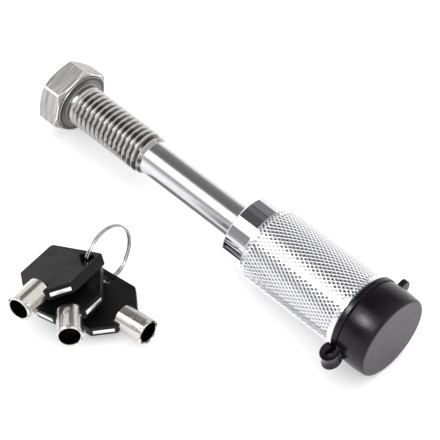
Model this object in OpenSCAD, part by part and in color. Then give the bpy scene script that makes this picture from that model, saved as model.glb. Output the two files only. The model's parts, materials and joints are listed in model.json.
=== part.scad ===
// Push-on barrel lock for a trailer hitch pin, with its dust cap and three tubular keys.
// The bolt lies along +X with its head's bearing face at x = 0. Units are millimetres.

/* [Bolt] */
// Width across the flats of the bolt's head
head_flats = 23.8; // [22:0.1:25]
// Thickness of the bolt's head
head_thick = 10.2; // [9:0.1:11]
// Outside diameter of the thread
thread_dia = 15.88; // [15.6:0.01:16.2]
// Distance from one thread crest to the next
thread_pitch = 2.309; // [2.2:0.001:2.4]
// Diameter of the smooth shank
shank_dia = 13.1; // [12.9:0.05:13.1]
// Length of the bolt under its head
bolt_reach = 120; // [119:0.5:120.4]

/* [Barrel] */
// Distance from the bolt's head to the barrel's front face
barrel_start = 85; // [84.5:0.1:85.5]
// Diameter of the polished front collar
collar_dia = 27.3; // [27:0.1:28]
// Diameter of the knurled grip
grip_dia = 28.8; // [28.4:0.1:29.4]
// Diameter of the boss that the dust cap closes over
boss_dia = 25.2; // [24.8:0.1:25.2]

/* [Dust cap] */
// Outside diameter of the rubber ring and lid
cap_dia = 31.4; // [31:0.1:32]
// Width of the strap that joins the ring to the lid
strap_width = 6.6; // [5:0.2:8]

/* [Keys] */
// Outside diameter of a key's tube
key_tube_dia = 9.2; // [9:0.05:9.3]
// Bore of a key's tube
key_bore_dia = 7.4; // [7.3:0.05:7.6]
// Length of a key's tube in front of its bow
key_tube_reach = 11.2; // [10:0.1:12]
// Width of a key's bow
bow_width = 23.5; // [22:0.1:24]
// Length of a key's bow
bow_length = 22.8; // [22:0.1:23]
// Thickness of a key's bow
bow_thick = 4.2; // [3.8:0.1:4.4]
// Radius of the middle of the key ring
ring_radius = 11.07; // [10.9:0.01:11.2]
// Diameter of the key ring's wire
ring_wire = 0.9; // [0.8:0.05:1]

/* [Hidden] */
$fn = 96;
eps = 0.01;

// Bolt
head_corner_r = head_flats / 2 / cos(30);
head_turn = 15;
washer_r = 11;
washer_thick = 0.5;
head_chamfer = 1.5;
thread_r = thread_dia / 2;
thread_root_r = thread_r - 1.22;
thread_start = 2.9;
thread_turns = 14;
thread_end = thread_start + thread_turns * thread_pitch;
shank_r = shank_dia / 2;
shank_start = thread_end + 2.2;
shank_step = barrel_start - 1.5;
tip_r = shank_r - 0.2;
groove_x = 113;
groove_root_r = 5.1;
groove_root_half = 1.6;
groove_top_half = 3;
tip_chamfer = 1.6;

// Barrel
collar_r = collar_dia / 2;
grip_r = grip_dia / 2;
boss_r = boss_dia / 2;
collar_end = 94.5;
grip_end = 137.6;
boss_end = 148.5;
barrel_bore_r = 13;
shaft_bore_r = 6.42;
press_gap = 0.02;
spigot_end = 103;
seal_x = 90;
seal_section_r = 0.9;
seal_r = 7.3;
cage_flange_end = 106;
cage_r = 10.4;
cage_end = 123.7;
cage_bore_end = 121;
ball_r = 2.6;
ball_hole_r = 2.66;
ball_rest_r = 9.3;

// Lock
lock_bore_r = 10.9;
lock_bore_start = 128.4;
lock_body_start = 128.6;
lock_body_end = 147.3;
pin_count = 7;
pin_circle_r = 4.2;
pin_r = 0.72;
pin_hole_r = 0.8;
rotor_start = 136;
rotor_end = 141;
rotor_r = 6.9;
lip_bore_r = 5;
post_r = 3.3;
post_end = 146.8;
tail_r = 2.6;
tail_start = 124.6;
tail_square = 3.6;
cam_r = 12.7;
cam_bore_r = 10.46;
cam_start = 106.3;
cam_floor = 124;
cam_end = 128.2;
cam_window_start = 109.6;
cam_window_end = 116.4;
cam_pocket_r = 12.25;
snap_ring_start = 147.4;
snap_ring_end = 148.1;
stop_circle_r = 8.6;
stop_pin_r = 0.9;

// Dust cap
cap_r = cap_dia / 2;
cap_seam = 140.3;
lid_start = 140.4;
lid_end = 152;
lid_wall_r = 14.3;
lid_floor = 150.2;
strap_turn = 11;
strap_loop_x = 140.3;
strap_loop_r = 17.8;
strap_outer_r = 4.2;
strap_inner_r = 2.1;
tab_width = 6;
tab_reach = 19.6;

// Keys: each row of key_places is the bow front's position, then yaw, pitch and roll.
tube_r = key_tube_dia / 2;
tube_bore_r = key_bore_dia / 2;
tube_back = -1.3;
tube_floor = -0.4;
bow_cut = 4.9;
bow_front = 1.6;
bow_corner_r = 1.2;
plate_thick = 1.5;
plate_proud = 0.15;
key_places = [
    [54.6, -70.1, 2.2, 11.1, 8.9, 21.8],
    [66.6, -67.4, -2.6, 48.5, 12, 12.6],
    [77, -52.3, -9.1, 95, 6.2, 0]
];
hole_legs = [7.5, 8.8, 9.3];
hole_corner = [-20.6, 9.8];
ring_centre = [56.56, -40.43, -3.46];
ring_tilt = 99.6;
ring_heading = 185.3;

// Points of a closed outline whose corners are rounded to radius r.
function unit(v) = v / norm(v);
function corner_points(a, b, c, r) =
    let (
        u = unit(a - b),
        v = unit(c - b),
        half = acos(u * v) / 2,
        m = b + unit(u + v) * r / sin(half),
        p = b + u * r / tan(half),
        q = b + v * r / tan(half),
        start = atan2(p[1] - m[1], p[0] - m[0]),
        turn = atan2(q[1] - m[1], q[0] - m[0]) - start,
        sweep = turn > 180 ? turn - 360 : turn < -180 ? turn + 360 : turn
    )
    [for (i = [0 : 6]) m + r * [cos(start + sweep * i / 6), sin(start + sweep * i / 6)]];
function rounded(points, r) =
    let (n = len(points))
    [for (i = [0 : n - 1]) each corner_points(points[(i + n - 1) % n], points[i], points[(i + 1) % n], r)];

// Turns a 2D profile of (along, radius) points about the X axis.
module turned(profile) {
    rotate([0, 90, 0])
        rotate([0, 0, 90])
            rotate_extrude()
                polygon([for (p = profile) [p[1], p[0]]]);
}

module rod(start, end, r) {
    translate([start, 0, 0])
        rotate([0, 90, 0])
            cylinder(h = end - start, r = r);
}

module tube(start, end, outer, inner) {
    difference() {
        rod(start, end, outer);
        rod(start - 1, end + 1, inner);
    }
}

module pin_row(start, end, r) {
    for (i = [0 : pin_count - 1])
        rotate([i * 360 / pin_count, 0, 0])
            translate([0, 0, pin_circle_r])
                rod(start, end, r);
}

// Bolt: hexagonal head, plain neck, thread, smooth shank, ball groove and tip in one piece
function thread_profile(i) =
    let (x = thread_start + i * thread_pitch)
    [
        [x + 0.15, thread_r - 0.15],
        [x + 0.35, thread_r],
        [x + 0.75, thread_r],
        [x + 1.45, thread_root_r],
        [x + 1.7, thread_root_r]
    ];
bolt_profile = concat(
    [[-1, 0], [-1, washer_r - 2], [0, washer_r - 2], [0, thread_r], [thread_start - 0.6, thread_r]],
    [[thread_start - 0.1, thread_root_r]],
    [for (i = [0 : thread_turns - 1]) each thread_profile(i)],
    [[thread_end + 0.2, thread_r - 0.1], [thread_end + 0.8, thread_r], [shank_start, shank_r]],
    [[shank_step, shank_r], [shank_step + 0.2, tip_r]],
    [[groove_x - groove_top_half, tip_r], [groove_x - groove_root_half, groove_root_r]],
    [[groove_x + groove_root_half, groove_root_r], [groove_x + groove_top_half, tip_r]],
    [[bolt_reach - tip_chamfer, tip_r], [bolt_reach, tip_r - tip_chamfer], [bolt_reach, 0]]
);

module bolt_head() {
    intersection() {
        translate([-head_thick, 0, 0])
            rotate([0, 90, 0])
                rotate([0, 0, -head_turn])
                    cylinder(h = head_thick - washer_thick, r = head_corner_r, $fn = 6);
        turned([
            [-head_thick, 0],
            [-head_thick, head_corner_r - head_chamfer - 0.6],
            [-head_thick + head_chamfer * 0.55, head_corner_r + 0.3],
            [-washer_thick - head_chamfer * 0.55, head_corner_r + 0.3],
            [-washer_thick, head_corner_r - head_chamfer - 0.6],
            [-washer_thick, 0]
        ]);
    }
    rod(-washer_thick - 0.5, 0, washer_r);
}

module hitch_bolt() {
    color("silver") {
        bolt_head();
        turned(bolt_profile);
    }
}

// Seal ring that rides on the shank inside the collar
module shaft_seal() {
    color([0.1, 0.1, 0.1])
        translate([seal_x, 0, 0])
            rotate([0, 90, 0])
                rotate_extrude()
                    translate([seal_r, 0])
                        circle(r = seal_section_r);
}

// Barrel: collar, grip, ball cage and lock body
module front_collar() {
    color([0.85, 0.85, 0.87])
        turned([
            [barrel_start, shaft_bore_r + 0.6],
            [barrel_start, collar_r - 0.9],
            [barrel_start + 0.9, collar_r],
            [collar_end, collar_r],
            [collar_end, barrel_bore_r - press_gap],
            [spigot_end, barrel_bore_r - press_gap],
            [spigot_end, shaft_bore_r],
            [seal_x + 1.1, shaft_bore_r],
            [seal_x + 1.1, seal_r + 1],
            [seal_x - 1.1, seal_r + 1],
            [seal_x - 1.1, shaft_bore_r],
            [barrel_start + 0.6, shaft_bore_r]
        ]);
}

module barrel_shell() {
    color([0.75, 0.75, 0.77])
        turned([
            [collar_end, barrel_bore_r],
            [collar_end, grip_r - 0.4],
            [collar_end + 0.4, grip_r],
            [grip_end - 0.4, grip_r],
            [grip_end, grip_r - 0.4],
            [grip_end, boss_r],
            [boss_end - 1, boss_r],
            [boss_end, boss_r - 1],
            [boss_end, lock_bore_r],
            [snap_ring_end + 0.05, lock_bore_r],
            [snap_ring_end + 0.05, lock_bore_r + 0.7],
            [snap_ring_start - 0.05, lock_bore_r + 0.7],
            [snap_ring_start - 0.05, lock_bore_r],
            [lock_bore_start, lock_bore_r],
            [lock_bore_start, barrel_bore_r]
        ]);
}

module ball_cage() {
    color([0.6, 0.6, 0.62])
        difference() {
            union() {
                rod(spigot_end, cage_flange_end, barrel_bore_r - press_gap);
                rod(spigot_end, cage_end, cage_r);
            }
            rod(spigot_end - 1, cage_bore_end, shaft_bore_r);
            translate([groove_x, 0, 0])
                cylinder(h = 40, r = ball_hole_r, center = true);
        }
}

module locking_ball(side) {
    color([0.8, 0.8, 0.82])
        translate([groove_x, 0, side * ball_rest_r])
            sphere(r = ball_r);
}

module lock_body() {
    color([0.7, 0.68, 0.6])
        difference() {
            rod(lock_body_start, lock_body_end, lock_bore_r - press_gap);
            rod(lock_body_start - 1, rotor_start, tail_r + 0.06);
            rod(rotor_start - 0.1, rotor_end + 0.1, rotor_r + 0.06);
            rod(rotor_end, lock_body_end + 1, lip_bore_r);
            pin_row(130.5, rotor_start, pin_hole_r);
            translate([0, 0, stop_circle_r])
                rod(lock_body_start - 1, 131, stop_pin_r);
        }
}

module driver_pins() {
    color("goldenrod")
        pin_row(133.4, rotor_start - 0.15, pin_r);
}

module pin_springs() {
    color("gray")
        for (i = [0 : pin_count - 1])
            rotate([i * 360 / pin_count, 0, 0])
                translate([0, 0, pin_circle_r])
                    tube(130.6, 133.3, pin_r, pin_r - 0.22);
}

module stop_pin() {
    color("gray")
        translate([0, 0, stop_circle_r])
            rod(126.4, 130.9, stop_pin_r - press_gap);
}

module retaining_ring() {
    color([0.2, 0.2, 0.22])
        difference() {
            tube(snap_ring_start, snap_ring_end, lock_bore_r + 0.6, lock_bore_r - 1.3);
            translate([snap_ring_start - 1, 0, -lock_bore_r])
                cube([3, 3, 6], center = true);
        }
}

// Plug: spindle, key pins and cam sleeve turn together
module plug_spindle() {
    color([0.72, 0.7, 0.62])
        difference() {
            union() {
                rod(rotor_start, rotor_end, rotor_r);
                rod(rotor_end - eps, post_end, post_r);
                rod(cam_end + 0.1, rotor_start + eps, tail_r);
                translate([tail_start, -tail_square / 2, -tail_square / 2])
                    cube([cam_end - tail_start + 0.2, tail_square, tail_square]);
            }
            pin_row(rotor_start - 1, rotor_end + 1, pin_hole_r);
        }
}

module key_pins() {
    color("goldenrod")
        pin_row(rotor_start + 0.05, rotor_end + 0.5, pin_r);
}

// Radius of the cam's inside at an angle from the ball that it lets out
function cam_rise(angle) = max(0, min(1, (89 - abs(angle)) / 58));
function cam_radius(angle) = cam_bore_r + (cam_pocket_r - cam_bore_r) * cam_rise(angle);
function folded(angle) = angle > 90 ? folded(angle - 180) : angle;
cam_outline = [for (a = [-90 : 4 : 266]) cam_radius(folded(a)) * [cos(a), sin(a)]];

module cam_sleeve() {
    color([0.62, 0.62, 0.6])
        difference() {
            rod(cam_start, cam_end, cam_r);
            rod(cam_start - 1, cam_floor, cam_bore_r);
            translate([cam_window_start, 0, 0])
                rotate([0, 90, 0])
                    linear_extrude(cam_window_end - cam_window_start)
                        polygon(cam_outline);
            translate([cam_floor - 1, -tail_square / 2 - 0.05, -tail_square / 2 - 0.05])
                cube([6, tail_square + 0.1, tail_square + 0.1]);
            stop_slot();
        }
}

module stop_slot() {
    translate([126, 0, 0])
        rotate([0, 90, 0])
            rotate([0, 0, 81])
                rotate_extrude(angle = 108)
                    translate([stop_circle_r - stop_pin_r - 0.3, 0])
                        square([2 * stop_pin_r + 0.6, 3]);
}

// Dust cap: ring on the barrel, strap and lid
module cap_ring() {
    color([0.08, 0.08, 0.08])
        turned([
            [grip_end + 0.05, boss_r + 0.1],
            [grip_end + 0.05, cap_r - 0.6],
            [grip_end + 0.5, cap_r],
            [cap_seam - 0.5, cap_r],
            [cap_seam, cap_r - 0.4],
            [cap_seam, boss_r + 0.1]
        ]);
}

module in_strap_plane() {
    rotate([strap_turn, 0, 0])
        children();
}

module cap_strap() {
    color([0.08, 0.08, 0.08])
        difference() {
            in_strap_plane()
                translate([strap_loop_x, -strap_loop_r, -strap_width / 2])
                    difference() {
                        cylinder(h = strap_width, r = strap_outer_r);
                        translate([0, 0, -1])
                            cylinder(h = strap_width + 2, r = strap_inner_r);
                    }
            rod(130, 150, cap_r + 0.1);
        }
}

module cap_lid() {
    color([0.08, 0.08, 0.08]) {
        turned([
            [lid_start, lid_wall_r],
            [lid_start, cap_r - 0.4],
            [lid_start + 0.4, cap_r],
            [lid_end - 1.2, cap_r],
            [lid_end - 0.35, cap_r - 0.35],
            [lid_end, cap_r - 1.2],
            [lid_end, 0],
            [lid_floor, 0],
            [lid_floor, lid_wall_r]
        ]);
        in_strap_plane()
            lid_tab();
    }
}

module lid_tab() {
    difference() {
        translate([lid_start, lid_wall_r + 0.5, -tab_width / 2])
            cube([2.2, tab_reach - lid_wall_r - 0.5, tab_width]);
        rod(lid_start - 1, lid_start + 4, lid_wall_r + 0.4);
    }
}

// Keys
module bow_outline() {
    w = bow_width / 2;
    polygon(rounded([
        [-bow_length, -w],
        [-bow_cut, -w],
        [bow_front, -w + bow_cut + bow_front],
        [bow_front, w - bow_cut - bow_front],
        [-bow_cut, w],
        [-bow_length, w]
    ], bow_corner_r));
}

// Steel blank inside a bow: its edge shows along the bow's two cut corners
module plate_outline() {
    w = bow_width / 2;
    q = plate_proud / sqrt(2);
    half = [
        [-bow_length + 9, w - 1.5],
        [-bow_cut - 0.3, w - 1.5],
        [-bow_cut + 0.1, w - 1.1],
        [-bow_cut + 0.6 + q, w - 0.6 + q],
        [bow_front - 0.6 + q, w - bow_cut - bow_front + 0.6 + q],
        [bow_front - 1.1, w - bow_cut - bow_front + 0.1]
    ];
    polygon(concat(half, [for (i = [5 : -1 : 0]) [half[i][0], -half[i][1]]]));
}

module tube_space(r) {
    rod(tube_back - (r - tube_r), 20, r);
}

module key_plate() {
    color([0.78, 0.78, 0.8])
        difference() {
            translate([0, 0, -plate_thick / 2])
                linear_extrude(plate_thick)
                    plate_outline();
            tube_space(tube_r + 0.05);
        }
}

module key_tube() {
    color([0.8, 0.8, 0.82])
        difference() {
            rod(tube_back, key_tube_reach, tube_r);
            rod(tube_floor, key_tube_reach + 1, tube_bore_r);
        }
}

module key_bow(leg) {
    c = hole_corner;
    color([0.07, 0.07, 0.07])
        difference() {
            translate([0, 0, -bow_thick / 2])
                linear_extrude(bow_thick)
                    difference() {
                        bow_outline();
                        polygon(rounded([c, c + [leg, 0], c - [0, leg]], 0.4));
                    }
            translate([0, 0, -plate_thick / 2])
                linear_extrude(plate_thick)
                    plate_outline();
            tube_space(tube_r + 0.15);
        }
}

module placed_key(i) {
    p = key_places[i];
    translate([p[0], p[1], p[2]])
        rotate([0, 0, p[3] - 90])
            rotate([0, -p[4], 0])
                rotate([p[5], 0, 0])
                    children();
}

module key_ring() {
    color([0.75, 0.75, 0.77])
        translate(ring_centre)
            rotate([0, ring_tilt, ring_heading])
                rotate_extrude()
                    for (side = [-1, 1])
                        translate([ring_radius, side * ring_wire * 0.47])
                            circle(r = ring_wire / 2);
}

hitch_bolt();
shaft_seal();
front_collar();
barrel_shell();
ball_cage();
lock_body();
driver_pins();
pin_springs();
stop_pin();
retaining_ring();
plug_spindle();
key_pins();
cam_sleeve();
locking_ball(1);  // locking_ball_upper
locking_ball(-1);  // locking_ball_lower
cap_ring();
cap_strap();
cap_lid();
key_ring();
placed_key(0) key_tube();  // key_1_tube
placed_key(0) key_plate();  // key_1_plate
placed_key(0) key_bow(hole_legs[0]);  // key_1_bow
placed_key(1) key_tube();  // key_2_tube
placed_key(1) key_plate();  // key_2_plate
placed_key(1) key_bow(hole_legs[1]);  // key_2_bow
placed_key(2) key_tube();  // key_3_tube
placed_key(2) key_plate();  // key_3_plate
placed_key(2) key_bow(hole_legs[2]);  // key_3_bow
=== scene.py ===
import json
import math

import bmesh
import bpy
import numpy as np
from mathutils import Matrix, Vector


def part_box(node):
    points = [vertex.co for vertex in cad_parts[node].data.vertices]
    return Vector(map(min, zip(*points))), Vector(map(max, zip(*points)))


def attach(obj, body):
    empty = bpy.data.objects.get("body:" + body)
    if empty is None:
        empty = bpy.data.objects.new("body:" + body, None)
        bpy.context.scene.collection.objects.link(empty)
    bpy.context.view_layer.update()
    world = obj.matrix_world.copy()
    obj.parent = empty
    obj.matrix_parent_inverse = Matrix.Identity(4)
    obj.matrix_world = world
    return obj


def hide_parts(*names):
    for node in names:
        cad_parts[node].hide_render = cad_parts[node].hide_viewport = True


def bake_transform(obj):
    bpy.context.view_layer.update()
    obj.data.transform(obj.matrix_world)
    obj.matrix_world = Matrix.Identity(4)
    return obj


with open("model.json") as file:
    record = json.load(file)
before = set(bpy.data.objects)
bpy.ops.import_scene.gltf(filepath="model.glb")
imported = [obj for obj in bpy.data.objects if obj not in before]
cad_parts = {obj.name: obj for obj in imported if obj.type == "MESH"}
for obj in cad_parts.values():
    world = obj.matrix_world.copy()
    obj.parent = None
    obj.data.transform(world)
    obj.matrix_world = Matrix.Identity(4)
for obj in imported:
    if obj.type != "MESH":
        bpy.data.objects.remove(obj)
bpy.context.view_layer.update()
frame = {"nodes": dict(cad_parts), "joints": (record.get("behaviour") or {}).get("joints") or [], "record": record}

# Lengths in this script are millimetres, and MM turns them into Blender's metres.
MM = 0.001
TURN = 2 * math.pi
record = frame["record"]
mounts = {m["name"]: m for m in record["mounts"]}
joints = {j["name"]: j for j in frame["joints"]}


def box(node):
    """The two corners of a CAD node's box."""
    low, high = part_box(node)
    return low / MM, high / MM


def start_of(node):
    return box(node)[0].x


def end_of(node):
    return box(node)[1].x


def radius_of(node):
    return box(node)[1].z


# ---------------------------------------------------------------- mesh tools


def finish_mesh(name, vertices, faces, sharp=40):
    """A smooth-shaded mesh object from points in millimetres; faces are made to point outwards."""
    mesh = bpy.data.meshes.new(name)
    mesh.from_pydata([tuple(Vector(v) * MM) for v in vertices], [], faces)
    bm = bmesh.new()
    bm.from_mesh(mesh)
    bmesh.ops.remove_doubles(bm, verts=bm.verts, dist=0.0005 * MM)
    bmesh.ops.dissolve_degenerate(bm, dist=0.0002 * MM, edges=bm.edges)
    bmesh.ops.recalc_face_normals(bm, faces=bm.faces)
    bm.to_mesh(mesh)
    bm.free()
    mesh.shade_smooth()
    mesh.set_sharp_from_angle(angle=math.radians(sharp))
    piece = bpy.data.objects.new(name, mesh)
    bpy.context.scene.collection.objects.link(piece)
    return piece


def weighted(piece):
    """Keeps flat faces flat where they meet a rounded edge."""
    modifier = piece.modifiers.new("flat faces", "WEIGHTED_NORMAL")
    modifier.keep_sharp = True
    return piece


def place(piece, body, slot, material, *nodes):
    piece.data.materials.clear()
    piece.data.materials.append(material)
    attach(piece, body)
    if nodes:
        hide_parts(*nodes)


def skin(rows, closed_rows=False):
    """Faces over rows of points that each go once round; closed_rows joins the last row to the first."""
    count = len(rows[0])
    points = [p for row in rows for p in row]
    faces = []
    for r in range(len(rows) if closed_rows else len(rows) - 1):
        below = r * count
        above = (r + 1) % len(rows) * count
        for c in range(count):
            d = (c + 1) % count
            faces.append([below + c, below + d, above + d, above + c])
    return points, faces


def capped(rows):
    """A skin over rows of points, with its first and last rows filled in."""
    points, faces = skin(rows)
    count = len(rows[0])
    last = len(points) - count
    faces.append(list(range(count)))
    faces.append([last + i for i in range(count)])
    return points, faces


def joined(*parts):
    """Several (points, faces) shapes as one."""
    points, faces = [], []
    for part_points, part_faces in parts:
        shift = len(points)
        points += part_points
        faces += [[shift + i for i in f] for f in part_faces]
    return points, faces


def moved(shape, matrix):
    return [matrix @ Vector(p) for p in shape[0]], shape[1]


def eased(profile, size, steps=3, closed=False):
    """The profile with each corner rounded off from `size` before it to `size` after it."""
    count = len(profile)
    result = []
    for i, (x, r) in enumerate(profile):
        if not closed and i in (0, count - 1):
            result.append((x, r))
            continue
        here = Vector((x, r))
        back = Vector(profile[i - 1]) - here
        ahead = Vector(profile[(i + 1) % count]) - here
        start = here + back.normalized() * min(size, back.length * 0.45)
        end = here + ahead.normalized() * min(size, ahead.length * 0.45)
        for s in range(steps + 1):
            t = s / steps
            result.append(tuple(start.lerp(here, t).lerp(here.lerp(end, t), t)))
    return result


def on_axis(x, r, a):
    """The point at a distance along the X axis, a radius and an angle."""
    return x, r * math.cos(a), r * math.sin(a)


def around(x, r, angles):
    return [on_axis(x, r, a) for a in angles]


def even_angles(count):
    return [TURN * i / count for i in range(count)]


def lathe(profile, count=128, closed=False):
    """A profile of (x, radius) pairs turned about the X axis."""
    angles = even_angles(count)
    return skin([around(x, r, angles) for x, r in profile], closed)


def swept(path, section, ups):
    """A section of (side, up) pairs carried along a path; ups says which way is up at each point."""
    count = len(path)
    rows = []
    for i, p in enumerate(path):
        ahead = path[i + 1] if i < count - 1 else p
        behind = path[i - 1] if i else p
        along = (Vector(ahead) - Vector(behind)).normalized()
        side = along.cross(Vector(ups[i])).normalized()
        up = side.cross(along)
        rows.append([Vector(p) + side * s + up * u for s, u in section])
    return capped(rows)


def ellipse(width, height, count=10):
    return [(width / 2 * math.cos(a), height / 2 * math.sin(a)) for a in even_angles(count)]


def smoothstep(t):
    t = max(0.0, min(1.0, t))
    return t * t * (3 - 2 * t)


def rounded_outline(corners, radius, steps=5):
    """A closed outline with arcs at its corners; `radius` is one value for all or a list of one each."""
    count = len(corners)
    result = []
    for i, corner in enumerate(corners):
        r = radius[i] if isinstance(radius, (list, tuple)) else radius
        here = Vector(corner)
        back = (Vector(corners[i - 1]) - here).normalized()
        ahead = (Vector(corners[(i + 1) % count]) - here).normalized()
        half = back.angle(ahead) / 2
        centre = here + (back + ahead).normalized() * r / math.sin(half)
        start = here + back * r / math.tan(half) - centre
        end = here + ahead * r / math.tan(half) - centre
        turn = math.atan2(start.x * end.y - start.y * end.x, start.dot(end))
        for s in range(steps + 1):
            a = turn * s / steps
            spun_x = start.x * math.cos(a) - start.y * math.sin(a)
            spun_y = start.x * math.sin(a) + start.y * math.cos(a)
            result.append((centre.x + spun_x, centre.y + spun_y))
    return result


def plate(name, outlines, thickness, bevel):
    """A flat plate with rounded edges; the first outline is its rim and the others are holes."""
    curve = bpy.data.curves.new(name, "CURVE")
    curve.dimensions = "2D"
    curve.fill_mode = "BOTH"
    curve.extrude = (thickness / 2 - bevel) * MM
    curve.bevel_depth = bevel * MM
    curve.bevel_resolution = 2
    curve.offset = -bevel * MM
    for outline in outlines:
        spline = curve.splines.new("POLY")
        spline.points.add(len(outline) - 1)
        for point, (x, y) in zip(spline.points, outline):
            point.co = (x * MM, y * MM, 0, 1)
        spline.use_cyclic_u = True
    holder = bpy.data.objects.new(name, curve)
    bpy.context.scene.collection.objects.link(holder)
    depsgraph = bpy.context.evaluated_depsgraph_get()
    mesh = bpy.data.meshes.new_from_object(holder.evaluated_get(depsgraph))
    points = [tuple(v.co / MM) for v in mesh.vertices]
    faces = [list(p.vertices) for p in mesh.polygons]
    bpy.data.objects.remove(holder)
    bpy.data.curves.remove(curve)
    bpy.data.meshes.remove(mesh)
    return points, faces


# ---------------------------------------------------------------- materials


class Paint:
    """One procedural material: a Principled shader and the nodes that feed it."""

    def __init__(self, name, colour, roughness, metallic=0.0, seen_from=None, **sockets):
        self.material = bpy.data.materials.new(name)
        self.material.use_nodes = True
        self.tree = self.material.node_tree
        self.shader = self.tree.nodes["Principled BSDF"]
        self.shader.inputs["Base Color"].default_value = (*colour, 1)
        self.shader.inputs["Roughness"].default_value = roughness
        self.shader.inputs["Metallic"].default_value = metallic
        for socket, value in sockets.items():
            self.shader.inputs[socket.replace("_", " ")].default_value = value
        self.place = self.node("ShaderNodeTexCoord").outputs["Object"]
        if seen_from is not None:
            turned = self.node("ShaderNodeMapping")
            turned.inputs["Location"].default_value = seen_from.inverted().translation * MM
            turned.inputs["Rotation"].default_value = seen_from.inverted().to_euler()
            self.link(self.place, turned.inputs["Vector"])
            self.place = turned.outputs["Vector"]
        self.normal = None

    def node(self, kind, **settings):
        made = self.tree.nodes.new(kind)
        for key, value in settings.items():
            setattr(made, key, value)
        return made

    def link(self, source, target):
        self.tree.links.new(source, target)

    def scaled(self, scale):
        """The object's coordinates multiplied by scale, in 1/m, along each axis."""
        made = self.node("ShaderNodeMapping")
        made.inputs["Scale"].default_value = scale if isinstance(scale, tuple) else (scale,) * 3
        self.link(self.place, made.inputs["Vector"])
        return made.outputs["Vector"]

    def noise(self, scale, detail=3.0, rough=0.5):
        made = self.node("ShaderNodeTexNoise")
        made.inputs["Scale"].default_value = 1.0
        made.inputs["Detail"].default_value = detail
        made.inputs["Roughness"].default_value = rough
        self.link(self.scaled(scale), made.inputs["Vector"])
        return made.outputs["Fac"]

    def ramp(self, source, low, high, to_low, to_high):
        made = self.node("ShaderNodeMapRange", interpolation_type="SMOOTHSTEP")
        limits = {"From Min": low, "From Max": high, "To Min": to_low, "To Max": to_high}
        for key, value in limits.items():
            made.inputs[key].default_value = value
        self.link(source, made.inputs["Value"])
        return made.outputs["Result"]

    def mixed(self, amount, first, second):
        """A colour between two colours; each is a tuple or a socket."""
        made = self.node("ShaderNodeMix", data_type="RGBA")
        self.link(amount, made.inputs["Factor"])
        for socket, value in ((made.inputs[6], first), (made.inputs[7], second)):
            if isinstance(value, tuple):
                socket.default_value = (*value, 1)
            else:
                self.link(value, socket)
        return made.outputs[2]

    def colour(self, source):
        self.link(source, self.shader.inputs["Base Color"])

    def roughness(self, source):
        self.link(source, self.shader.inputs["Roughness"])

    def bump(self, source, height, strength=1.0):
        """Adds a bump; height is in millimetres. Each bump carries on from the one before."""
        made = self.node("ShaderNodeBump")
        made.inputs["Strength"].default_value = strength
        made.inputs["Distance"].default_value = height * MM
        self.link(source, made.inputs["Height"])
        if self.normal is not None:
            self.link(self.normal, made.inputs["Normal"])
        self.normal = made.outputs["Normal"]
        self.link(self.normal, self.shader.inputs["Normal"])

    def radius(self):
        """Distance from the X axis, in millimetres."""
        flat = self.scaled((0.0, 1 / MM, 1 / MM))
        made = self.node("ShaderNodeVectorMath", operation="LENGTH")
        self.link(flat, made.inputs[0])
        return made.outputs["Value"]

    def times(self, first, second):
        made = self.node("ShaderNodeMath", operation="MULTIPLY")
        self.link(first, made.inputs[0])
        self.link(second, made.inputs[1])
        return made.outputs[0]

    def facing_along(self):
        """How squarely a face looks along the X axis, from 0 for faces that run along it to 1."""
        made = self.node("ShaderNodeSeparateXYZ")
        self.link(self.node("ShaderNodeTexCoord").outputs["Normal"], made.inputs["Vector"])
        size = self.node("ShaderNodeMath", operation="ABSOLUTE")
        self.link(made.outputs["X"], size.inputs[0])
        return size.outputs[0]

    def along(self):
        """Distance along the X axis, in millimetres."""
        made = self.node("ShaderNodeSeparateXYZ")
        self.link(self.scaled(1 / MM), made.inputs["Vector"])
        return made.outputs["X"]


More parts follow.
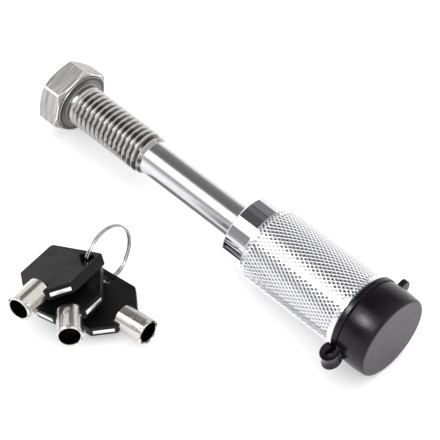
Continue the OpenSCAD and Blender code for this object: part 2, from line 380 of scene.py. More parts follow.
def ground_steel():
    """The bolt: ground facets with painted highlights on their bevels and corners, painted shade and a painted
    highlight under the head, painted shade on the steps past the thread and in the thread valleys.
    """
    paint = Paint("ground steel", (0.6, 0.6, 0.61), 0.3, 1.0)
    radial, along = paint.radius(), paint.along()
    broad = paint.noise(90.0, 3.0)
    scratch = paint.noise((2300.0, 80.0, 80.0), 5.0, 0.7)
    # The core is all that stands in front of the head and inside its bearing face.
    inner = paint.ramp(radial, thread_r + 0.11, thread_r + 0.36, 1.0, 0.0)
    core = paint.times(inner, paint.ramp(along, -washer_thick - 0.5, -washer_thick - 0.1, 0.0, 1.0))
    streak = paint.ramp(scratch, 0.36, 0.64, 0.0, 1.0)
    facet = paint.mixed(streak, (0.23, 0.225, 0.22), (0.49, 0.475, 0.46))
    # Painted highlights: faces that slant between along and across the axis, such as the small bevels, are
    # coloured near white, and the hexagon's rounded corners lighter.
    turned = paint.facing_along()
    bevel = paint.times(paint.ramp(turned, 0.2, 0.4, 0.0, 1.0), paint.ramp(turned, 0.66, 0.8, 1.0, 0.0))
    corner = paint.ramp(radial, corner_r - 0.13, corner_r - 0.05, 0.0, 1.0)
    facets_and_edge_highlights = paint.mixed(corner, paint.mixed(bevel, facet, (0.82, 0.81, 0.8)), (0.7, 0.69, 0.68))
    # Under the head, outwards: painted shade on the bearing face, a painted highlight on its rim, a painted shadow
    # line, then the chamfer.
    under_head_shading = (0.2, 0.19, 0.185)
    for start, end, colour in (
        (-1.4, -0.6, (0.08, 0.075, 0.07)),
        (-0.1, 0.0, (0.6, 0.59, 0.58)),
        (0.02, 0.1, (0.02, 0.02, 0.02)),
        (0.35, 0.5, facets_and_edge_highlights),
    ):
        outside = paint.ramp(radial, washer_r + start, washer_r + end, 0.0, 1.0)
        under_head_shading = paint.mixed(outside, under_head_shading, colour)
    front = paint.ramp(along, -washer_thick - 0.3, -washer_thick - 0.1, 0.0, 1.0)
    in_thread = paint.ramp(along, thread_end - 0.3, thread_end, 1.0, 0.0)
    ground = paint.mixed(broad, (0.57, 0.57, 0.58), (0.63, 0.63, 0.64))
    polished = paint.mixed(in_thread, ground, (0.43, 0.425, 0.42))
    # Painted shade: faces past the thread that look along the axis, such as the step down to the shank, are
    # coloured dark.
    beyond_thread = paint.ramp(along, thread_end - 0.2, thread_end + 0.1, 0.0, 1.0)
    step = paint.times(paint.ramp(turned, 0.3, 0.6, 0.0, 1.0), beyond_thread)
    smooth = paint.mixed(step, polished, (0.22, 0.215, 0.21))
    # Painted shade: the thread valleys are coloured near black.
    valley_shade_colour = paint.mixed(broad, (0.04, 0.035, 0.03), (0.11, 0.1, 0.09))
    valley = paint.ramp(radial, thread_root + 0.2, thread_root + 0.85, 1.0, 0.0)
    body = paint.mixed(core, paint.mixed(front, facets_and_edge_highlights, under_head_shading), smooth)
    shaded_valleys = paint.times(paint.times(valley, in_thread), core)
    paint.colour(paint.mixed(shaded_valleys, body, valley_shade_colour))
    head_rough = paint.ramp(scratch, 0.3, 0.7, 0.4, 0.55)
    shank_rough = paint.ramp(in_thread, 0.0, 1.0, 0.24, 0.2)
    chosen = paint.node("ShaderNodeMix", data_type="FLOAT")
    paint.link(core, chosen.inputs["Factor"])
    paint.link(head_rough, chosen.inputs[2])
    paint.link(shank_rough, chosen.inputs[3])
    paint.roughness(chosen.outputs[0])
    paint.bump(scratch, 0.012)
    return paint.material


def bright_metal(name, low, high, roughness, spread=0.03, grain=0.002, scale=400.0):
    """Plated metal with a faint cloudiness in its shine and fine polishing marks."""
    paint = Paint(name, high, roughness, 1.0)
    cloud = paint.noise(scale, 4.0, 0.6)
    paint.colour(paint.mixed(cloud, low, high))
    paint.roughness(paint.ramp(cloud, 0.3, 0.7, roughness, roughness + spread))
    paint.bump(paint.noise((scale * 6, scale, scale), 3.0), grain)
    return paint.material


def knurled_chrome():
    """Chrome: bright flanks, flat tops coloured dark as a painted reflection, and a painted shade on the rougher
    bottoms to the knurl's grooves.
    """
    paint = Paint("knurled chrome", (0.95, 0.95, 0.97), 0.04, 1.0)
    radial = paint.radius()
    # Painted shade: the groove bottoms are coloured darker; they are also made rougher.
    groove = paint.ramp(radial, grip_r - knurl_depth + 0.02, grip_r - knurl_depth + 0.11, 1.0, 0.0)
    # Painted reflection: the flat tops of the pyramids are coloured dark.
    top = paint.ramp(radial, grip_r - 0.04, grip_r - 0.01, 0.0, 1.0)
    cloud = paint.noise(300.0, 3.0)
    flank = paint.mixed(cloud, (0.92, 0.92, 0.93), (0.98, 0.98, 0.99))
    crest = paint.mixed(top, flank, (0.25, 0.25, 0.255))
    paint.colour(paint.mixed(groove, crest, (0.7, 0.7, 0.72)))
    paint.roughness(paint.ramp(groove, 0.0, 1.0, 0.04, 0.2))
    paint.bump(paint.noise(2500.0, 2.0), 0.001)
    return paint.material


def key_nickel(number, matrix):
    """Nickel plate on one key's tube, with painted shade that makes it nearly black inside its bore."""
    paint = Paint(f"key nickel {number}", (0.85, 0.82, 0.79), 0.12, 1.0, matrix)
    bore = mounts[f"key_{number}_bore"]["dims"]["r_mm"]
    # Painted shade: the bore's wall and floor, back from the mouth, are coloured near black.
    inside = paint.ramp(paint.radius(), bore + 0.02, bore + 0.14, 1.0, 0.0)
    deep = paint.ramp(paint.along(), TUBE_MOUTH - 1.2, TUBE_MOUTH - 0.05, 1.0, 0.0)
    cloud = paint.noise(400.0, 4.0, 0.6)
    plated = paint.mixed(cloud, (0.5, 0.475, 0.45), (0.68, 0.65, 0.625))
    paint.colour(paint.mixed(paint.times(inside, deep), plated, (0.06, 0.052, 0.05)))
    paint.roughness(paint.ramp(cloud, 0.3, 0.7, 0.17, 0.25))
    paint.bump(paint.noise((900.0, 300.0, 300.0), 3.0), 0.003)
    return paint.material


def cap_rubber():
    """Black rubber; the lid's flat end is coloured a little greyer than its wall, as painted light."""
    paint = Paint("cap rubber", (0.005, 0.0045, 0.005), 0.25, Specular_IOR_Level=0.22)
    cloud = paint.noise(140.0, 4.0, 0.55)
    wall = paint.mixed(cloud, (0.0035, 0.0018, 0.0035), (0.007, 0.0045, 0.007))
    # Painted light: the flat end gets a lighter colour than the wall.
    lit_end_colour = paint.mixed(cloud, (0.018, 0.011, 0.018), (0.026, 0.018, 0.026))
    flat_end = paint.ramp(paint.along(), lid_end - 0.22, lid_end - 0.1, 0.0, 1.0)
    paint.colour(paint.mixed(flat_end, wall, lit_end_colour))
    paint.roughness(paint.ramp(cloud, 0.3, 0.7, 0.21, 0.29))
    paint.bump(paint.noise(2600.0, 3.0, 0.6), 0.016)
    return paint.material


def soft_black(name, low, high, roughness, grain_scale, grain_height, **sockets):
    """Moulded rubber or plastic: near black, with a fine grain and slow changes of shine."""
    paint = Paint(name, low, roughness, 0.0, **sockets)
    cloud = paint.noise(140.0, 4.0, 0.55)
    grain = paint.noise(grain_scale, 3.0, 0.6)
    paint.colour(paint.mixed(cloud, low, high))
    paint.roughness(paint.ramp(cloud, 0.3, 0.7, roughness - 0.1, roughness + 0.1))
    paint.bump(grain, grain_height)
    return paint.material


def floor_paper():
    """Pale paper lit a little from below, which keeps its shadows faint."""
    paint = Paint("floor paper", (0.93, 0.93, 0.935), 0.6, Specular_IOR_Level=0.1)
    fibre = paint.noise(60.0, 3.0)
    paint.colour(paint.mixed(fibre, (0.925, 0.925, 0.93), (0.94, 0.94, 0.945)))
    paint.shader.inputs["Emission Color"].default_value = (1.0, 0.985, 0.995, 1)
    paint.shader.inputs["Emission Strength"].default_value = 0.26
    return paint.material


# ---------------------------------------------------------------- the bolt

collar_start = start_of("front_collar")
head_back = start_of("hitch_bolt")
bolt_end = end_of("hitch_bolt")
shank_r = mounts["shank"]["dims"]["r_mm"]
thread_r = mounts["thread"]["dims"]["r_mm"]
tip_r = shank_r - 0.2
pitch = 2.309
thread_root = thread_r - 1.22
thread_middle = mounts["thread"]["pos_m"][0] / MM
thread_start = thread_middle - mounts["thread"]["dims"]["length_mm"] / 2 - 1.1
thread_end = thread_middle + mounts["thread"]["dims"]["length_mm"] / 2 + 0.7
head_flats = 23.8
head_turn = math.radians(15)
head_rim = 0.9
corner_r = (head_flats / 2 - head_rim) / math.cos(math.radians(30)) + head_rim
washer_r = 11.0
washer_thick = 0.5
groove_r = 5.1


def hexagon_angles_and_radii():
    """Polar angle and radius of points round the head, with rounded corners and evenly split flats."""
    corner = head_flats / 2 / math.cos(math.radians(30))
    inset = head_rim / math.cos(math.radians(30))
    polar = []
    for k in range(6):
        middle = head_turn + k * TURN / 6
        centre = Vector((math.cos(middle), math.sin(middle))) * (corner - inset)
        arc = [middle + math.radians(-30 + 60 * s / 4) for s in range(5)]
        round_points = [centre + Vector((math.cos(a), math.sin(a))) * head_rim for a in arc]
        ahead, square = middle + TURN / 6, middle + TURN / 12
        next_start = Vector((math.cos(ahead), math.sin(ahead))) * (corner - inset)
        next_start += Vector((math.cos(square), math.sin(square))) * head_rim
        flat = [round_points[-1].lerp(next_start, s / 20) for s in range(1, 20)]
        polar += [(math.atan2(p.y, p.x), p.length) for p in round_points + flat]
    angles, radii = [], []
    for a, r in polar:
        while angles and a < angles[-1]:
            a += TURN
        angles.append(a)
        radii.append(r)
    return angles, radii


def head_column(hex_r):
    """The head's profile at an angle where the hexagon's radius is hex_r, with its corners chamfered."""
    face_r = head_flats / 2 - 0.4
    back_slope = math.tan(math.radians(28))
    front_slope = math.tan(math.radians(30))
    back = head_back + max(0.0, hex_r - face_r) * back_slope
    front = -washer_thick - max(0.0, hex_r - face_r) * front_slope
    reach = min(hex_r, face_r)
    edge = 0.14
    bevel = 0.42
    return [
        (head_back + 0.25, 0.0),
        (head_back + 0.2, reach * 0.5),
        (head_back + 0.02, reach - 1.2),
        (head_back, reach - edge),
        (head_back + edge * 0.5, reach),
        (back - edge * 0.4, hex_r - edge * 0.6),
        (back + edge, hex_r),
        (front - bevel, hex_r),
        (front - bevel * 0.25, hex_r - bevel * 0.5),
        (front, hex_r - bevel * 0.6),
        (-washer_thick - edge * 0.3, reach),
        (-washer_thick, reach - edge),
    ]


def thread_rows(angles):
    """Rows of points along the helix, clamped to the threaded stretch, and how many make one turn."""
    crest, valley = 0.13, 0.22
    shape = [
        (0.0, thread_root),
        (valley, thread_root),
        (valley + 0.1, thread_root + 0.1),
        (0.5 - crest / 2 - 0.02, thread_r - 0.12),
        (0.5 - crest / 4, thread_r),
        (0.5 + crest / 2, thread_r),
        (0.5 + crest / 2 + 0.06, thread_r - 0.12),
        (0.9, thread_root + 0.1),
    ]
    turns = math.ceil((thread_end - thread_start) / pitch) + 2
    rows = []
    for turn in range(turns):
        for along, r in shape:
            rows.append((thread_start + (turn - 1 + along) * pitch, r))
    grid = []
    run_out = 1.3
    for x0, r in rows:
        ring = []
        for a in angles:
            x = x0 + pitch * (a - angles[0]) / TURN
            rise = smoothstep((x - thread_start) / (0.8 * pitch))
            cone = max(0.0, min(1.0, (x - thread_end) / run_out + 1))
            here = min(thread_r - (thread_r - r) * rise, thread_r - (thread_r - thread_root) * cone)
            ring.append((min(max(x, thread_start), thread_end), here, a))
        grid.append(ring)
    return grid, len(shape)


def bolt_shape():
    angles, radii = hexagon_angles_and_radii()
    count = len(angles)
    head = [[] for _ in head_column(1.0)]
    for a, hex_r in zip(angles, radii):
        for row, (x, r) in zip(head, head_column(hex_r)):
            row.append(on_axis(x, r, a))
    neck = [
        (-washer_thick, washer_r + 0.05),
        (-washer_thick, washer_r),
        (-0.12, washer_r),
        (0.0, washer_r - 0.15),
        (0.0, thread_r + 0.5),
        (0.12, thread_r + 0.12),
        (0.4, thread_r),
        (thread_start, thread_r),
    ]
    before = head + [around(x, r, angles) for x, r in neck]
    points, faces = skin(before)
    grid, per_turn = thread_rows(angles)
    shift = len(points)
    points += [on_axis(x, r, a) for ring in grid for x, r, a in ring]
    for j in range(len(grid) - 1):
        for c in range(count):
            row, column = (j, c + 1) if c + 1 < count else (j + per_turn, 0)
            if row + 1 >= len(grid):
                continue
            here, beyond = shift + j * count + c, shift + row * count + column
            faces.append([here, beyond, beyond + count, here + count])
    groove = box("locking_ball_upper")
    groove_x = (groove[0].x + groove[1].x) / 2
    end = [
        (thread_end, thread_root),
        (thread_end + 0.15, thread_root + 0.3),
        (thread_end + 0.5, thread_r - 0.45),
        (thread_end + 0.75, thread_r - 0.5),
        (thread_end + 1.9, shank_r + 0.12),
        (thread_end + 2.2, shank_r),
        (collar_start - 1.5, shank_r),
        (collar_start - 1.3, tip_r),
        (groove_x - 3.0, tip_r),
        (groove_x - 1.6, groove_r),
        (groove_x + 1.6, groove_r),
        (groove_x + 3.0, tip_r),
        (bolt_end - 1.6, tip_r),
        (bolt_end - 1.2, tip_r - 0.15),
        (bolt_end - 0.2, tip_r - 1.45),
        (bolt_end, tip_r - 1.7),
        (bolt_end, 0.0),
    ]
    after = skin([around(x, r, angles) for x, r in end])
    return joined((points, faces), after)


def make_bolt():
    piece = finish_mesh("bolt_forging", *bolt_shape(), sharp=35)
    place(weighted(piece), "bolt", "bolt_steel", ground_steel(), "hitch_bolt")


# ---------------------------------------------------------------- the barrel

grip_r = radius_of("barrel_shell")
grip_start = start_of("barrel_shell")
grip_end = start_of("cap_ring")
boss_end = end_of("barrel_shell")
knurl_depth = 0.22
knurl_starts = 61
knurl_rows = 35
boss_r = 12.6
front_bore_r = 13.0
lock_bore_r = 10.9
lock_seat_x = 128.4
snap_groove_r = 11.6


def make_collar():
    """Polished collar: the node's own outline with finely eased edges."""
    outer = radius_of("front_collar")
    bore, spigot_r = 6.42, front_bore_r - 0.02
    profile = [
        (collar_start, bore + 0.6),
        (collar_start, outer - 0.75),
        (collar_start + 0.75, outer),
        (grip_start - 0.12, outer),
        (grip_start - 0.02, outer - 0.1),
        (grip_start - 0.02, spigot_r),
        (end_of("front_collar"), spigot_r),
        (end_of("front_collar"), bore),
        (collar_start + 0.6, bore),
    ]
    piece = finish_mesh("polished_collar", *lathe(eased(profile, 0.12, 3, True), 160, True), sharp=50)
    finish = bright_metal("mirror chrome", (0.7, 0.69, 0.75), (0.76, 0.755, 0.8), 0.03, 0.02, 0.0005)
    place(weighted(piece), "barrel", "polished_chrome", finish, "front_collar")


def knurl(first_x, last_x, columns, rows):
    """Diamond knurl: flat-topped pyramids between two families of crossing grooves."""
    step = (last_x - first_x) / rows
    points, index = [], {}

    def add(key, x, r, a):
        index[key] = len(points)
        points.append(on_axis(x, r, a))

    low = grip_r - knurl_depth
    flat = 0.59
    for j in range(rows + 1):
        x = first_x + j * step
        for i in range(columns):
            a = TURN * i / columns
            if (i + j) % 2 == 0 or j in (0, rows):
                add((i, j), x, low, a)
                continue
            top = grip_r - (0.12 if j in (1, rows - 1) else 0.0)
            half = TURN / columns
            add((i, j, 0), x, top, a - half * flat)
            add((i, j, 1), x + step * flat, top, a)
            add((i, j, 2), x, top, a + half * flat)
            add((i, j, 3), x - step * flat, top, a)
    faces = []
    for j in range(rows + 1):
        for i in range(columns):
            if (i + j) % 2 == 0:
                continue
            left, right = ((i - 1) % columns, j), ((i + 1) % columns, j)
            if j == 0 or j == rows:
                other = (i, 1) if j == 0 else (i, rows - 1)
                faces.append([index[k] for k in (left, (i, j), other)])
                faces.append([index[k] for k in ((i, j), right, other)])
                continue
            ring = [left, (i, j + 1), right, (i, j - 1)]
            tops = [(i, j, k) for k in range(4)]
            faces.append([index[k] for k in tops])
            for k in range(4):
                n = (k + 1) % 4
                faces.append([index[q] for q in (ring[k], ring[n], tops[n], tops[k])])
    return points, faces


def make_shell():
    columns = 2 * knurl_starts
    first_x, last_x = grip_start + 0.35, grip_end - 0.4
    low = grip_r - knurl_depth
    grip = knurl(first_x, last_x, columns, knurl_rows)
    rest = [
        (last_x, low),
        (grip_end - 0.12, low - 0.2),
        (grip_end - 0.05, low - 0.4),
        (grip_end - 0.05, boss_r + 0.2),
        (grip_end, boss_r),
        (boss_end - 1.0, boss_r),
        (boss_end - 0.1, boss_r - 0.9),
        (boss_end, boss_r - 1.0),
        (boss_end, lock_bore_r + 0.1),
        (boss_end - 0.1, lock_bore_r),
        (boss_end - 0.35, lock_bore_r),
        (boss_end - 0.35, snap_groove_r),
        (boss_end - 1.15, snap_groove_r),
        (boss_end - 1.15, lock_bore_r),
        (lock_seat_x, lock_bore_r),
        (lock_seat_x, front_bore_r),
        (grip_start, front_bore_r),
        (grip_start, low - 0.3),
        (first_x, low),
    ]
    angles = even_angles(columns)
    tube = skin([around(x, r, angles) for x, r in rest])
    piece = finish_mesh("knurled_shell", *joined(grip, tube), sharp=12)
    place(piece, "barrel", "knurled_chrome", knurled_chrome(), "barrel_shell")


# ---------------------------------------------------------------- the dust cap

cap_r = radius_of("cap_lid")
lid_start = start_of("cap_lid")
lid_end = end_of("cap_lid")
ring_start = start_of("cap_ring")
ring_end = end_of("cap_ring")
swing = joints["lid_swing"]
# The strap and the tab lie on a line through the axis, square to the lid's hinge.
strap_out = Vector(swing["axis"]).cross(Vector((1, 0, 0))).normalized()
if strap_out.dot(Vector(swing["pos_m"])) < 0:
    strap_out = -strap_out
strap_side = Vector((1, 0, 0)).cross(strap_out)


def in_cap(x, out, side):
    """A point from its place along the axis, away from it on the strap's side, and across the strap."""
    return Vector((x, 0, 0)) + strap_out * out + strap_side * side


def make_cap_ring(rubber):
    bore = boss_r + 0.1
    profile = [
        (ring_start, bore),
        (ring_start, cap_r - 0.9),
        (ring_start + 0.25, cap_r - 0.35),
        (ring_start + 0.7, cap_r),
        (ring_end - 0.25, cap_r),
        (ring_end, cap_r - 0.25),
        (ring_end, bore),
    ]
    piece = finish_mesh("rubber_cap_ring", *lathe(eased(profile, 0.2, 3, True), 160, True))
    place(weighted(piece), "barrel", "cap_rubber", rubber, "cap_ring")


def make_lid(rubber):
    """Rubber lid with a slightly crowned wall, so that its highlight stays a compact blob."""
    wall, floor_x = 14.3, lid_end - 1.8
    crown, crown_x, crown_reach = 0.32, lid_start + 5.55, 5.3
    wall_line = []
    for s in range(9):
        t = s / 4 - 1
        wall_line.append((crown_x + crown_reach * t, cap_r - crown * t * t))
    profile = [
        (lid_start, wall),
        (lid_start, cap_r - crown - 0.25),
        *wall_line,
        (lid_end - 0.24, cap_r - crown - 0.22),
        (lid_end - 0.02, cap_r - crown - 0.7),
        (lid_end, cap_r - crown - 1.2),
        (lid_end - 0.06, cap_r * 0.5),
        (lid_end - 0.1, 0.0),
    ]
    inside = [(floor_x, 0.0), (floor_x, wall - 0.5), (floor_x - 0.5, wall), (lid_start, wall)]
    outline = eased(profile, 0.3) + eased(inside, 0.1)[:-1]
    piece = finish_mesh("rubber_lid", *joined(lathe(outline, 160, True), tab_shape()))
    place(weighted(piece), "lid", "cap_rubber", rubber, "cap_lid")


def tab_shape():
    """Finger tab: a rounded tongue with eased edges."""
    root, reach, width, tip = cap_r - 0.7, 19.6, 6.0, 0.72
    outline = [(root, -width / 2)]
    for s in range(9):
        a = math.pi * (s / 8 - 0.5)
        outline.append((reach - width / 2 * tip * (1 - math.cos(a)), width / 2 * math.sin(a)))
    outline.append((root, width / 2))
    middle = Vector(((root + reach) / 2, 0))
    rows = []
    for x, shrink in ((0, 0.5), (0.12, 0.16), (0.35, 0), (1.85, 0), (2.08, 0.16), (2.2, 0.5)):
        row = []
        for out, side in outline:
            v = Vector((out, side)) - middle
            v = v * (1 - shrink / v.length) + middle
            row.append(in_cap(lid_start + x, -v.x, v.y))
        rows.append(row)
    return capped(rows)


def make_strap(rubber):
    """Rubber loop from the lid round to the ring, bent like an omega, its two edges flared outwards."""
    low, high = box("cap_strap")
    outer = (high.x - low.x) / 2
    middle_x = (high.x + low.x) / 2
    reach = max((v.co / MM).dot(strap_out) for v in frame["nodes"]["cap_strap"].data.vertices)
    centre = reach - outer
    half_width, flare, thick = 3.28, 0.75, 2.2
    loop_r = outer - flare - thick / 2
    squash, root = 0.7, cap_r - 0.6
    path = [(lid_start + 2.4, root)]
    for s in range(37):
        a = math.radians(-48 + 276 * s / 36)
        path.append((middle_x + squash * loop_r * math.cos(a), centre + loop_r * math.sin(a)))
    path.append((ring_start + 0.9, root))
    outside, inside = [], []
    for s in range(9):
        side = -half_width + 2 * half_width * s / 8
        lift = flare * abs(side / half_width) ** 2.5
        trim = 0.22 if s in (0, 8) else 0.0
        outside.append((side, thick / 2 + lift - trim))
        inside.append((side, -thick / 2 + lift * 0.9 + trim))
    section = outside + inside[::-1]
    line = [in_cap(x, out, 0) for x, out in path]
    middle = in_cap(middle_x, centre, 0)
    ups = [(p - middle).normalized() for p in line]
    piece = finish_mesh("rubber_strap", *swept(line, section, ups), sharp=60)
    piece.data.materials.append(rubber)
    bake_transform(piece)
    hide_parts("cap_strap")


# ---------------------------------------------------------------- keys

TUBE_R = 4.6
TUBE_BACK, TUBE_FLOOR, TUBE_MOUTH = -1.3, -0.4, 11.2
BOW_LENGTH, BOW_WIDTH, BOW_THICK = 22.8, 23.5, 4.2
BOW_CUT = 4.9
BOW_FRONT = 1.6
HOLE_X, HOLE_Y = -20.6, 9.8
PINS = 7
PIN_CIRCLE = 4.2


def key_matrix(number):
    """From the key's own frame, with X towards its mouth and Z square to its bow, to the row's."""
    bore = mounts[f"key_{number}_bore"]
    forward = Vector(bore["axis"]).normalized()
    up = Vector(joints[f"key_{number}_swing"]["axis"]).normalized()
    side = up.cross(forward)
    middle = TUBE_MOUTH - bore["dims"]["length_mm"] / 2
    origin = Vector(bore["pos_m"]) / MM - forward * middle
    matrix = Matrix((forward, side, up)).transposed().to_4x4()
    matrix.translation = origin
    return matrix


def tube_shape(depths):
    """Open tube with a small lug, its rim milled with a cut of its own depth for each pin."""
    bore = mounts["key_1_bore"]["dims"]["r_mm"]
    per_cut, cut_width, cut_depth = 24, 0.34, 0.5
    angles = even_angles(PINS * per_cut)
    rows = []
    for back, inset in ((0.25, TUBE_R), (0.2, 1.6), (0.35, 0.6), (0.9, 0.0)):
        rows.append(around(TUBE_BACK + back, TUBE_R - inset, angles))
    for x in (7.0, 8.4, 8.8, 9.1, 9.3, 9.5, 9.7, 9.9, 10.1, 10.3, 10.5, 10.7, 10.95, 11.1, 11.2):
        ring = []
        for c, a in enumerate(angles):
            cut = c // per_cut
            across = abs(c % per_cut - per_cut / 2) / (per_cut / 2)
            reach = depths[cut] * math.sqrt(max(0.0, 1 - (across / cut_width) ** 2))
            inside = smoothstep((x - (TUBE_MOUTH - reach)) / 0.22 + 0.5) if reach > 0 else 0.0
            ease = 0.22 * smoothstep((x - TUBE_MOUTH + 0.2) / 0.3)
            ring.append(on_axis(x, TUBE_R - ease - cut_depth * inside, a))
        rows.append(ring)
    inner = [(TUBE_MOUTH, bore + 0.12), (TUBE_MOUTH - 0.12, bore), (4.0, bore)]
    inner += [(TUBE_FLOOR + 0.2, bore), (TUBE_FLOOR, bore - 0.3), (TUBE_FLOOR, 0.0)]
    rows += [around(x, r, angles) for x, r in inner]
    lug_x, lug_angle = 9.0, math.radians(-20)
    lug = rounded_outline([(-0.9, -0.75), (0.9, -0.75), (0.9, 0.75), (-0.9, 0.75)], 0.35, 3)
    layers = []
    for proud, shrink in ((-0.3, 1.0), (0.45, 1.0), (0.62, 0.86), (0.68, 0.6)):
        layers.append([(lug_x + x * shrink, TUBE_R + proud, y * shrink) for x, y in lug])
    return joined(skin(rows), moved(capped(layers), Matrix.Rotation(lug_angle, 4, "X")))


def bow_outlines(hole_leg):
    w = BOW_WIDTH / 2
    notch, notch_back = 4.35, TUBE_BACK - 0.3
    nose = -w + BOW_CUT + BOW_FRONT
    rim = rounded_outline(
        [(-BOW_LENGTH, -w), (-BOW_CUT, -w), (BOW_FRONT, nose), (BOW_FRONT, -notch), (notch_back, -notch),
         (notch_back, notch), (BOW_FRONT, notch), (BOW_FRONT, -nose), (-BOW_CUT, w), (-BOW_LENGTH, w)],
        [1.5, 1.2, 0.4, 0.25, 1.4, 1.4, 0.25, 0.4, 1.2, 1.5],
    )
    legs = [(HOLE_X, HOLE_Y), (HOLE_X + hole_leg, HOLE_Y), (HOLE_X, HOLE_Y - hole_leg)]
    return [rim, rounded_outline(legs, 0.6, 3)]


def plate_shape(name):
    """The key's steel blank: it shows as a bright strip along the bow's two cut corners."""
    w = BOW_WIDTH / 2
    q = 0.15 / math.sqrt(2)
    half = [
        (-BOW_LENGTH + 9, w - 1.5), (-BOW_CUT - 0.3, w - 1.5), (-BOW_CUT + 0.1, w - 1.1),
        (-BOW_CUT + 0.6 + q, w - 0.6 + q), (BOW_FRONT - 0.6 + q, w - BOW_CUT - BOW_FRONT + 0.6 + q),
        (BOW_FRONT - 1.1, w - BOW_CUT - BOW_FRONT + 0.1),
    ]
    rim = rounded_outline(half + [(x, -y) for x, y in half[::-1]], 0.06, 2)
    return plate(name, [rim], 1.5, 0.08)


def hole_leg_of(number, matrix):
    """Length of the hole's legs: as far as keeps the key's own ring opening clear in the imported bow."""
    inverse = matrix.inverted()
    leg = 0.0
    for v in frame["nodes"][f"key_{number}_bow"].data.vertices:
        p = inverse @ (v.co / MM)
        if abs(p.y - HOLE_Y) < 0.05 and HOLE_X + 0.6 < p.x < -9.0:
            leg = max(leg, p.x - HOLE_X)
    return leg + 0.55


def make_keys(blank, plastic):
    depths = {
        1: (1.5, 1.0, 1.7, 1.2, 0.9, 1.6, 1.1),
        2: (1.0, 1.6, 1.2, 1.7, 0.9, 1.3, 1.5),
        3: (1.6, 0.9, 1.4, 1.1, 1.7, 1.0, 1.3),
    }
    for number in (1, 2, 3):
        matrix = key_matrix(number)
        body = f"key_{number}"
        tube = moved(tube_shape(depths[number]), matrix)
        tube = finish_mesh(f"{body}_nickel_tube", *tube, sharp=38)
        place(weighted(tube), body, "key_nickel", key_nickel(number, matrix), f"{body}_tube")
        steel = moved(plate_shape("blank"), matrix)
        steel = finish_mesh(f"{body}_steel_blank", *steel, sharp=50)
        place(steel, body, "key_plate_steel", blank, f"{body}_plate")
        outlines = bow_outlines(hole_leg_of(number, matrix))
        bow = moved(plate("bow", outlines, BOW_THICK, 0.45), matrix)
        bow = finish_mesh(f"{body}_moulded_bow", *bow, sharp=50)
        place(weighted(bow), body, "bow_plastic", plastic, f"{body}_bow")


def make_ring(nickel):
    """Split ring: one wire that goes round twice and steps across once, its two ends beside the step."""
    node = frame["nodes"]["key_ring"]
    cloud = np.array([v.co for v in node.data.vertices]) / MM
    centre = (cloud.max(0) + cloud.min(0)) / 2
    _, _, directions = np.linalg.svd(cloud - cloud.mean(0), full_matrices=False)
    normal = Vector(directions[2])
    out = normal.cross(Vector((0, 1, 0))).normalized()
    across = normal.cross(out)
    radius, wire, offset = 11.07, 0.76, 0.47
    path, ups = [], []
    steps, gap = 150, 0.05
    for s in range(steps + 1):
        turns = gap + (2 - 2 * gap) * s / steps
        step = smoothstep((turns - 1 + gap) / (2 * gap))
        a = TURN * (turns + 0.4)
        spoke = out * math.cos(a) + across * math.sin(a)
        path.append(Vector(centre) + spoke * radius + normal * (offset * (2 * step - 1)))
        ups.append(normal)
    shape = swept(path, ellipse(wire, wire * 0.94, 12), ups)
    piece = finish_mesh("split_ring_wire", *shape, sharp=60)
    place(piece, "ring", "ring_wire", nickel, "key_ring")


# ---------------------------------------------------------------- inside the barrel


def make_springs(steel):
    low, high = box("pin_springs")
    coil_r, wire, turns, per_turn = 0.58, 0.22, 6, 14
    shapes = []
    for k in range(PINS):
        around_axis = Matrix.Rotation(TURN * k / PINS, 4, "X")
        path, ups = [], []
        for s in range(turns * per_turn + 1):
            a = TURN * s / per_turn
            x = low.x + wire / 2 + (high.x - low.x - wire) * s / (turns * per_turn)
            centre = Vector((x, 0, PIN_CIRCLE))
            spoke = Vector((0, math.cos(a), math.sin(a)))
            path.append(centre + spoke * coil_r)
            ups.append(spoke)
        shapes.append(moved(swept(path, ellipse(wire, wire, 6), ups), around_axis))
    piece = finish_mesh("coil_springs", *joined(*shapes), sharp=60)
    place(piece, "barrel", "spring_steel", steel, "pin_springs")


def make_pins(name, node, body, brass):
    low, high = box(node)
    r = 0.72
    outline = eased([(low.x, 0.0), (low.x, r), (high.x, r), (high.x, 0.0)], 0.2)
    shapes = []
    for k in range(PINS):
        spot = Matrix.Rotation(TURN * k / PINS, 4, "X") @ Matrix.Translation((0, 0, PIN_CIRCLE))
        shapes.append(moved(lathe(outline, 20), spot))
    place(finish_mesh(name, *joined(*shapes)), body, "pin_brass", brass, node)


def paint_inside(finishes):
    """The pieces inside the barrel keep their CAD shapes and get their own finishes."""
    for node, material in finishes.items():
        piece = frame["nodes"][node]
        piece.data.materials.clear()
        piece.data.materials.append(material)


# ---------------------------------------------------------------- stage, light and camera


def stage_mesh(name, points, faces, material):
    """A piece of the studio, from points in metres."""
    mesh = bpy.data.meshes.new(name)
    mesh.from_pydata(points, [], faces)
    mesh.materials.append(material)
    piece = bpy.data.objects.new(name, mesh)
    bpy.context.scene.collection.objects.link(piece)
    return piece


def floor_height(x):
    """The floor touches the lid's rim and the head's lowest corner, which makes it a hair off level."""
    lid_x = (lid_start + lid_end) / 2
    head_x, head_low, gap = -5.0, 13.27, 0.05
    slope = (cap_r - head_low + gap) / (lid_x - head_x)
    return slope * (lid_x - x) - cap_r - gap


def make_floor():
    """A wide sheet of pale paper."""
    reach = 12000
    corners = []
    for x, y in ((-reach, -reach), (reach, -reach), (reach, reach), (-reach, reach)):
        corners.append((x * MM, y * MM, floor_height(x) * MM))
    stage_mesh("floor", corners, [[0, 1, 2, 3]], floor_paper())


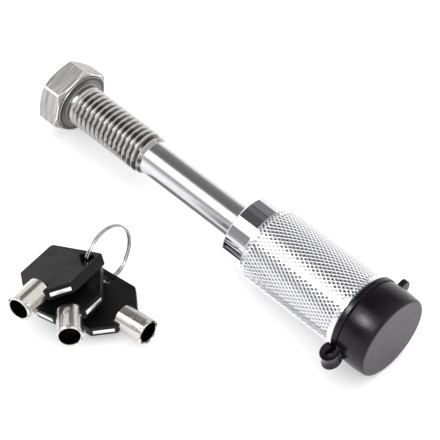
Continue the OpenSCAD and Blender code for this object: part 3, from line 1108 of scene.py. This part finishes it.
def glow(name, level):
    made = bpy.data.materials.new(name)
    made.use_nodes = True
    nodes = made.node_tree.nodes
    nodes.clear()
    light = nodes.new("ShaderNodeEmission")
    light.inputs["Color"].default_value = (*[level] * 3, 1)
    out = nodes.new("ShaderNodeOutputMaterial")
    made.node_tree.links.new(light.outputs[0], out.inputs["Surface"])
    return made


def reflector(name, first, last, level, distance=2600, reach=(-2350, -400)):
    """A curved studio flat seen only in what is shiny.

    Its angles are degrees about the bolt's axis, from +Y up to +Z. It stands beyond the bolt's head,
    where the camera's view is thrown by faces that run along the barrel.
    """
    rows = []
    steps = 8
    for s in range(steps + 1):
        a = math.radians(first + (last - first) * s / steps)
        y, z = distance * math.cos(a), distance * math.sin(a)
        rows.append([(x * MM, y * MM, z * MM) for x in reach])
    points = [p for row in rows for p in row]
    shiny_only(name, points, [[2 * s, 2 * s + 1, 2 * s + 3, 2 * s + 2] for s in range(steps)], level)


def shiny_only(name, points, faces, level):
    flat = stage_mesh(name, points, faces, glow(name, level))
    for use in ("camera", "diffuse", "shadow", "transmission", "volume_scatter"):
        setattr(flat, f"visible_{use}", False)


def floor_strip(name, near, far, level, first, last):
    """A dark strip on the floor, for the dark lines low down on the collar and the shank; the one under the shank
    is a painted shadow.
    """
    corners = ((first, near), (first, far), (last, far), (last, near))
    points = [(x * MM, y * MM, (floor_height(x) + 0.2) * MM) for x, y in corners]
    shiny_only(name, points, [[0, 1, 2, 3]], level)


def make_light():
    world = bpy.data.worlds.new("pale studio")
    bpy.context.scene.world = world
    world.use_nodes = True
    back = world.node_tree.nodes["Background"]
    back.inputs["Color"].default_value = (1.0, 1.0, 1.0, 1)
    back.inputs["Strength"].default_value = 1.2
    reflector("far_dark_flat", 21, 53, 0.27)
    reflector("top_line", 53, 56, 0.06)
    reflector("top_grey_flat", 56, 74, 0.18)
    reflector("top_dark_flat", 74, 104, 0.11)
    reflector("soft_box", 104, 136, 2.6)
    reflector("near_grey_flat", 136, 162, 0.37)
    reflector("near_pale_flat", 162, 170, 0.5)
    reflector("bright_spot", 119, 137, 48.0, 2500, (-960, -660))
    floor_strip("floor_grey_strip", -52, -46, 0.16, 58, 100)
    floor_strip("floor_dark_strip", -43, -34, 0.04, 58, 100)
    # Painted shadow: a dark sheet under the shank, seen only in shiny faces, stands in for the shank's own shadow.
    floor_strip("shank_shadow_strip", -20, -7, 0.22, 34, 78)
    key = bpy.data.lights.new("key", "AREA")
    key.shape = "RECTANGLE"
    key.size, key.size_y = 1.2, 0.9
    key.energy = 8.0
    lamp = bpy.data.objects.new("key", key)
    target = Vector((0.075, -0.02, 0.0))
    lamp.location = target + Vector((-0.25, 0.75, 1.25))
    lamp.rotation_mode = "QUATERNION"
    lamp.rotation_quaternion = (target - lamp.location).to_track_quat("-Z", "Y")
    lamp.visible_glossy = False
    bpy.context.scene.collection.objects.link(lamp)


def make_camera():
    """Three quarters from above, where the barrel points down to the right."""
    camera = bpy.data.cameras.new("camera")
    camera.sensor_width = 36.0
    camera.lens = 151.2
    camera.clip_start, camera.clip_end = 0.01, 100.0
    holder = bpy.data.objects.new("camera", camera)
    holder.location = (0.36349, -0.29593, 0.49867)
    towards = Vector((-0.44639, 0.45219, -0.77218))
    holder.rotation_mode = "QUATERNION"
    holder.rotation_quaternion = towards.to_track_quat("-Z", "Y")
    bpy.context.scene.collection.objects.link(holder)
    bpy.context.scene.camera = holder
    bpy.context.scene.view_settings.view_transform = "Standard"


make_camera()
make_light()
make_floor()

bow_plastic = soft_black(
    "bow plastic", (0.003, 0.003, 0.0032), (0.006, 0.006, 0.0063), 0.4, 3200.0, 0.03,
    Specular_IOR_Level=0.15,
)
seal_rubber = soft_black("seal rubber", (0.01, 0.01, 0.01), (0.016, 0.016, 0.016), 0.35, 2000.0, 0.004)
key_blank = bright_metal("key blank steel", (0.7, 0.7, 0.71), (0.85, 0.85, 0.86), 0.24, 0.1, 0.006)
ring_nickel = bright_metal("ring nickel", (0.28, 0.28, 0.29), (0.56, 0.56, 0.57), 0.12, 0.08, 0.002)
spring_steel = bright_metal("spring steel", (0.2, 0.2, 0.21), (0.34, 0.34, 0.36), 0.3, 0.1, 0.003)
inner_steel = bright_metal("inner steel", (0.42, 0.42, 0.43), (0.58, 0.58, 0.6), 0.28, 0.12, 0.006)
ball_steel = bright_metal("ball steel", (0.6, 0.6, 0.62), (0.75, 0.75, 0.77), 0.06, 0.04, 0.001)
lock_brass = bright_metal("lock brass", (0.5, 0.42, 0.24), (0.66, 0.56, 0.34), 0.25, 0.12, 0.006)
pin_brass = bright_metal("pin brass", (0.6, 0.44, 0.2), (0.76, 0.58, 0.3), 0.2, 0.08, 0.003)

make_bolt()
make_collar()
make_shell()
rubber = cap_rubber()
make_cap_ring(rubber)
make_lid(rubber)
make_strap(rubber)
make_keys(key_blank, bow_plastic)
make_ring(ring_nickel)
make_springs(spring_steel)
make_pins("driver_pin_set", "driver_pins", "barrel", pin_brass)
make_pins("key_pin_set", "key_pins", "plug", pin_brass)
paint_inside({
    "shaft_seal": seal_rubber,
    "ball_cage": inner_steel,
    "lock_body": lock_brass,
    "stop_pin": inner_steel,
    "retaining_ring": spring_steel,
    "plug_spindle": lock_brass,
    "cam_sleeve": inner_steel,
    "locking_ball_upper": ball_steel,
    "locking_ball_lower": ball_steel,
})
